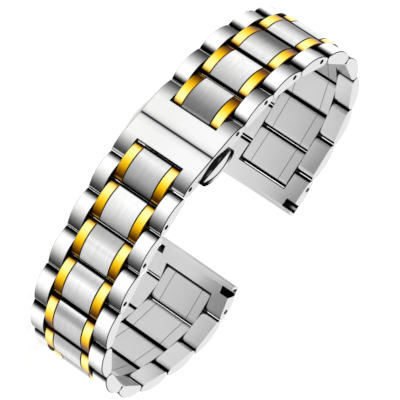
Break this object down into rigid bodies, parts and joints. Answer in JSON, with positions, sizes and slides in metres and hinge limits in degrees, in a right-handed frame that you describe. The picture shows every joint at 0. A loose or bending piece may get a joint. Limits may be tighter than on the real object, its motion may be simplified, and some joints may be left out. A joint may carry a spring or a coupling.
{
  "type": "metal watch bracelet",
  "caption": "Two-tone metal watch bracelet of arched links hinged at every pin, with a push-button double-folding clasp and straight end links for spring bars.",
  "frame": {"origin": "middle of the bounding box, at the bottom: the bracelet stands on its side edge", "axes": "+X along the loop's longest extent, from the short half to the long half; +Y from the clasp's outer face towards the free ends; +Z across the bracelet's width, parallel to every hinge pin"},
  "size_m": [0.0822, 0.054, 0.0206],
  "materials": {
    "outer_link": "satin with polished bevels",
    "centre_link": "brushed steel centre between two polished gold strips",
    "cover": "polished",
    "button": "polished",
    "clasp_inner": "satin",
    "hinge_pin": "turned",
    "spring_wire": "drawn wire"
  },
  "bodies": {
    "clasp": {"clasp_base": "clasp_inner", "latch_block": "clasp_inner", "long_arm_pin": "hinge_pin", "short_arm_pin": "hinge_pin", "near_button_spring": "spring_wire", "far_button_spring": "spring_wire"},
    "long_arm": {"long_arm": "clasp_inner", "long_cover_pin": "hinge_pin"},
    "long_cover": {"long_cover": "cover"},
    "short_arm": {"short_arm": "clasp_inner", "short_cover_pin": "hinge_pin"},
    "short_cover": {"short_cover": "cover"},
    "near_button": {"near_button": "button"},
    "far_button": {"far_button": "button"},
    "long_centre_link_01": {"long_centre_link_01": "centre_link"},
    "long_outer_links_01": {"long_outer_links_01": "outer_link"},
    "long_centre_link_02": {"long_centre_link_02": "centre_link"},
    "long_outer_links_02": {"long_outer_links_02": "outer_link"},
    "long_centre_link_03": {"long_centre_link_03": "centre_link"},
    "long_outer_links_03": {"long_outer_links_03": "outer_link"},
    "long_centre_link_04": {"long_centre_link_04": "centre_link"},
    "long_outer_links_04": {"long_outer_links_04": "outer_link"},
    "long_centre_link_05": {"long_centre_link_05": "centre_link"},
    "long_outer_links_05": {"long_outer_links_05": "outer_link"},
    "long_centre_link_06": {"long_centre_link_06": "centre_link"},
    "long_outer_links_06": {"long_outer_links_06": "outer_link"},
    "long_centre_link_07": {"long_centre_link_07": "centre_link"},
    "long_outer_links_07": {"long_outer_links_07": "outer_link"},
    "long_centre_link_08": {"long_centre_link_08": "centre_link"},
    "long_outer_links_08": {"long_outer_links_08": "outer_link"},
    "long_centre_link_09": {"long_centre_link_09": "centre_link"},
    "long_outer_links_09": {"long_outer_links_09": "outer_link"},
    "long_centre_link_10": {"long_centre_link_10": "centre_link"},
    "long_outer_links_10": {"long_outer_links_10": "outer_link"},
    "long_centre_link_11": {"long_centre_link_11": "centre_link"},
    "long_end_link": {"long_end_link": "outer_link"},
    "short_centre_link_01": {"short_centre_link_01": "centre_link"},
    "short_outer_links_01": {"short_outer_links_01": "outer_link"},
    "short_centre_link_02": {"short_centre_link_02": "centre_link"},
    "short_outer_links_02": {"short_outer_links_02": "outer_link"},
    "short_centre_link_03": {"short_centre_link_03": "centre_link"},
    "short_outer_links_03": {"short_outer_links_03": "outer_link"},
    "short_centre_link_04": {"short_centre_link_04": "centre_link"},
    "short_outer_links_04": {"short_outer_links_04": "outer_link"},
    "short_centre_link_05": {"short_centre_link_05": "centre_link"},
    "short_outer_links_05": {"short_outer_links_05": "outer_link"},
    "short_centre_link_06": {"short_centre_link_06": "centre_link"},
    "short_outer_links_06": {"short_outer_links_06": "outer_link"},
    "short_centre_link_07": {"short_centre_link_07": "centre_link"},
    "short_outer_links_07": {"short_outer_links_07": "outer_link"},
    "short_centre_link_08": {"short_centre_link_08": "centre_link"},
    "short_outer_links_08": {"short_outer_links_08": "outer_link"},
    "short_centre_link_09": {"short_centre_link_09": "centre_link"},
    "short_end_link": {"short_end_link": "outer_link"}
  },
  "joints": [
    {"name": "long_arm_hinge", "type": "hinge", "parent": "clasp", "child": "long_arm", "pos_m": [0.01098, -0.02125, 0.0103], "axis": [0, 0, 1], "range_deg": [0, 150]},
    {"name": "short_arm_hinge", "type": "hinge", "parent": "clasp", "child": "short_arm", "pos_m": [-0.01382, -0.02125, 0.0103], "axis": [0, 0, -1], "range_deg": [0, 150]},
    {"name": "near_button_push", "type": "slide", "parent": "clasp", "child": "near_button", "axis": [0, 0, -1], "range_m": [0, 0.0008], "stiffness_N_per_m": 600, "springref_m": -0.0004, "deforming": ["near_button_spring"]},
    {"name": "far_button_push", "type": "slide", "parent": "clasp", "child": "far_button", "axis": [0, 0, 1], "range_m": [0, 0.0008], "stiffness_N_per_m": 600, "springref_m": -0.0004, "deforming": ["far_button_spring"]},
    {"name": "long_cover_hinge", "type": "hinge", "parent": "long_arm", "child": "long_cover", "pos_m": [0.00118, -0.02461, 0.0103], "axis": [0, 0, 1], "range_deg": [-150, 0]},
    {"name": "short_cover_hinge", "type": "hinge", "parent": "short_arm", "child": "short_cover", "pos_m": [-0.00402, -0.02461, 0.0103], "axis": [0, 0, -1], "range_deg": [-150, 0]},
    {"name": "long_pin_01", "type": "hinge", "parent": "long_cover", "child": "long_centre_link_01", "pos_m": [0.00583, -0.02561, 0.0103], "axis": [0, 0, 1], "range_deg": [-20, 0]},
    {"name": "long_pin_02", "type": "hinge", "parent": "long_centre_link_01", "child": "long_outer_links_01", "pos_m": [0.00994, -0.02436, 0.0103], "axis": [0, 0, -1], "range_deg": [-9, 6]},
    {"name": "long_pin_03", "type": "hinge", "parent": "long_outer_links_01", "child": "long_centre_link_02", "pos_m": [0.01398, -0.02289, 0.0103], "axis": [0, 0, 1], "range_deg": [-6, 17]},
    {"name": "long_pin_04", "type": "hinge", "parent": "long_centre_link_02", "child": "long_outer_links_02", "pos_m": [0.01794, -0.02121, 0.0103], "axis": [0, 0, -1], "range_deg": [-17, 6]},
    {"name": "long_pin_05", "type": "hinge", "parent": "long_outer_links_02", "child": "long_centre_link_03", "pos_m": [0.02181, -0.01932, 0.0103], "axis": [0, 0, 1], "range_deg": [-6, 17]},
    {"name": "long_pin_06", "type": "hinge", "parent": "long_centre_link_03", "child": "long_outer_links_03", "pos_m": [0.02557, -0.01724, 0.0103], "axis": [0, 0, -1], "range_deg": [-17, 6]},
    {"name": "long_pin_07", "type": "hinge", "parent": "long_outer_links_03", "child": "long_centre_link_04", "pos_m": [0.02921, -0.01496, 0.0103], "axis": [0, 0, 1], "range_deg": [-6, 17]},
    {"name": "long_pin_08", "type": "hinge", "parent": "long_centre_link_04", "child": "long_outer_links_04", "pos_m": [0.03274, -0.01249, 0.0103], "axis": [0, 0, -1], "range_deg": [-8, 15]},
    {"name": "long_pin_09", "type": "hinge", "parent": "long_outer_links_04", "child": "long_centre_link_05", "pos_m": [0.03567, -0.00935, 0.0103], "axis": [0, 0, 1], "range_deg": [-15, 8]},
    {"name": "long_pin_10", "type": "hinge", "parent": "long_centre_link_05", "child": "long_outer_links_05", "pos_m": [0.03788, -0.00566, 0.0103], "axis": [0, 0, -1], "range_deg": [-8, 15]},
    {"name": "long_pin_11", "type": "hinge", "parent": "long_outer_links_05", "child": "long_centre_link_06", "pos_m": [0.03928, -0.0016, 0.0103], "axis": [0, 0, 1], "range_deg": [-15, 8]},
    {"name": "long_pin_12", "type": "hinge", "parent": "long_centre_link_06", "child": "long_outer_links_06", "pos_m": [0.03981, 0.00267, 0.0103], "axis": [0, 0, -1], "range_deg": [-8, 15]},
    {"name": "long_pin_13", "type": "hinge", "parent": "long_outer_links_06", "child": "long_centre_link_07", "pos_m": [0.03943, 0.00696, 0.0103], "axis": [0, 0, 1], "range_deg": [-15, 8]},
    {"name": "long_pin_14", "type": "hinge", "parent": "long_centre_link_07", "child": "long_outer_links_07", "pos_m": [0.03818, 0.01107, 0.0103], "axis": [0, 0, -1], "range_deg": [-8, 15]},
    {"name": "long_pin_15", "type": "hinge", "parent": "long_outer_links_07", "child": "long_centre_link_08", "pos_m": [0.03609, 0.01483, 0.0103], "axis": [0, 0, 1], "range_deg": [-15, 8]},
    {"name": "long_pin_16", "type": "hinge", "parent": "long_centre_link_08", "child": "long_outer_links_08", "pos_m": [0.03327, 0.01807, 0.0103], "axis": [0, 0, -1], "range_deg": [-8, 15]},
    {"name": "long_pin_17", "type": "hinge", "parent": "long_outer_links_08", "child": "long_centre_link_09", "pos_m": [0.02984, 0.02066, 0.0103], "axis": [0, 0, 1], "range_deg": [-10, 13]},
    {"name": "long_pin_18", "type": "hinge", "parent": "long_centre_link_09", "child": "long_outer_links_09", "pos_m": [0.02611, 0.02281, 0.0103], "axis": [0, 0, -1], "range_deg": [-13, 10]},
    {"name": "long_pin_19", "type": "hinge", "parent": "long_outer_links_09", "child": "long_centre_link_10", "pos_m": [0.02215, 0.02449, 0.0103], "axis": [0, 0, 1], "range_deg": [-10, 13]},
    {"name": "long_pin_20", "type": "hinge", "parent": "long_centre_link_10", "child": "long_outer_links_10", "pos_m": [0.01802, 0.02568, 0.0103], "axis": [0, 0, -1], "range_deg": [0, 23]},
    {"name": "long_pin_21", "type": "hinge", "parent": "long_outer_links_10", "child": "long_centre_link_11", "pos_m": [0.01373, 0.02538, 0.0103], "axis": [0, 0, 1], "range_deg": [-23, 0]},
    {"name": "long_pin_22", "type": "hinge", "parent": "long_centre_link_11", "child": "long_end_link", "pos_m": [0.0098, 0.02363, 0.0103], "axis": [0, 0, -1], "range_deg": [0, 23]},
    {"name": "short_pin_01", "type": "hinge", "parent": "short_cover", "child": "short_centre_link_01", "pos_m": [-0.00867, -0.02561, 0.0103], "axis": [0, 0, -1], "range_deg": [-5, 13]},
    {"name": "short_pin_02", "type": "hinge", "parent": "short_centre_link_01", "child": "short_outer_links_01", "pos_m": [-0.01297, -0.02546, 0.0103], "axis": [0, 0, 1], "range_deg": [-10, 5]},
    {"name": "short_pin_03", "type": "hinge", "parent": "short_outer_links_01", "child": "short_centre_link_02", "pos_m": [-0.01726, -0.02516, 0.0103], "axis": [0, 0, -1], "range_deg": [-11, 12]},
    {"name": "short_pin_04", "type": "hinge", "parent": "short_centre_link_02", "child": "short_outer_links_02", "pos_m": [-0.02146, -0.02427, 0.0103], "axis": [0, 0, 1], "range_deg": [-12, 11]},
    {"name": "short_pin_05", "type": "hinge", "parent": "short_outer_links_02", "child": "short_centre_link_03", "pos_m": [-0.0255, -0.0228, 0.0103], "axis": [0, 0, -1], "range_deg": [-11, 12]},
    {"name": "short_pin_06", "type": "hinge", "parent": "short_centre_link_03", "child": "short_outer_links_03", "pos_m": [-0.0293, -0.02078, 0.0103], "axis": [0, 0, 1], "range_deg": [-12, 11]},
    {"name": "short_pin_07", "type": "hinge", "parent": "short_outer_links_03", "child": "short_centre_link_04", "pos_m": [-0.03278, -0.01825, 0.0103], "axis": [0, 0, -1], "range_deg": [-11, 12]},
    {"name": "short_pin_08", "type": "hinge", "parent": "short_centre_link_04", "child": "short_outer_links_04", "pos_m": [-0.03587, -0.01527, 0.0103], "axis": [0, 0, 1], "range_deg": [-6, 17]},
    {"name": "short_pin_09", "type": "hinge", "parent": "short_outer_links_04", "child": "short_centre_link_05", "pos_m": [-0.03815, -0.01162, 0.0103], "axis": [0, 0, -1], "range_deg": [-17, 6]},
    {"name": "short_pin_10", "type": "hinge", "parent": "short_centre_link_05", "child": "short_outer_links_05", "pos_m": [-0.03948, -0.00753, 0.0103], "axis": [0, 0, 1], "range_deg": [-6, 17]},
    {"name": "short_pin_11", "type": "hinge", "parent": "short_outer_links_05", "child": "short_centre_link_06", "pos_m": [-0.03978, -0.00324, 0.0103], "axis": [0, 0, -1], "range_deg": [-17, 6]},
    {"name": "short_pin_12", "type": "hinge", "parent": "short_centre_link_06", "child": "short_outer_links_06", "pos_m": [-0.03903, 0.00099, 0.0103], "axis": [0, 0, 1], "range_deg": [-6, 17]},
    {"name": "short_pin_13", "type": "hinge", "parent": "short_outer_links_06", "child": "short_centre_link_07", "pos_m": [-0.03728, 0.00492, 0.0103], "axis": [0, 0, -1], "range_deg": [-17, 6]},
    {"name": "short_pin_14", "type": "hinge", "parent": "short_centre_link_07", "child": "short_outer_links_07", "pos_m": [-0.03464, 0.00831, 0.0103], "axis": [0, 0, 1], "range_deg": [-6, 17]},
    {"name": "short_pin_15", "type": "hinge", "parent": "short_outer_links_07", "child": "short_centre_link_08", "pos_m": [-0.03125, 0.01096, 0.0103], "axis": [0, 0, -1], "range_deg": [-17, 6]},
    {"name": "short_pin_16", "type": "hinge", "parent": "short_centre_link_08", "child": "short_outer_links_08", "pos_m": [-0.02732, 0.01271, 0.0103], "axis": [0, 0, 1], "range_deg": [-17, 6]},
    {"name": "short_pin_17", "type": "hinge", "parent": "short_outer_links_08", "child": "short_centre_link_09", "pos_m": [-0.0233, 0.01425, 0.0103], "axis": [0, 0, -1], "range_deg": [-6, 17]},
    {"name": "short_pin_18", "type": "hinge", "parent": "short_centre_link_09", "child": "short_end_link", "pos_m": [-0.01922, 0.01558, 0.0103], "axis": [0, 0, 1], "range_deg": [-17, 6]}
  ],
  "couplings": [
    {"joint": "long_cover_hinge", "follows": "long_arm_hinge", "ratio": -1},
    {"joint": "short_cover_hinge", "follows": "short_arm_hinge", "ratio": -1}
  ]
}
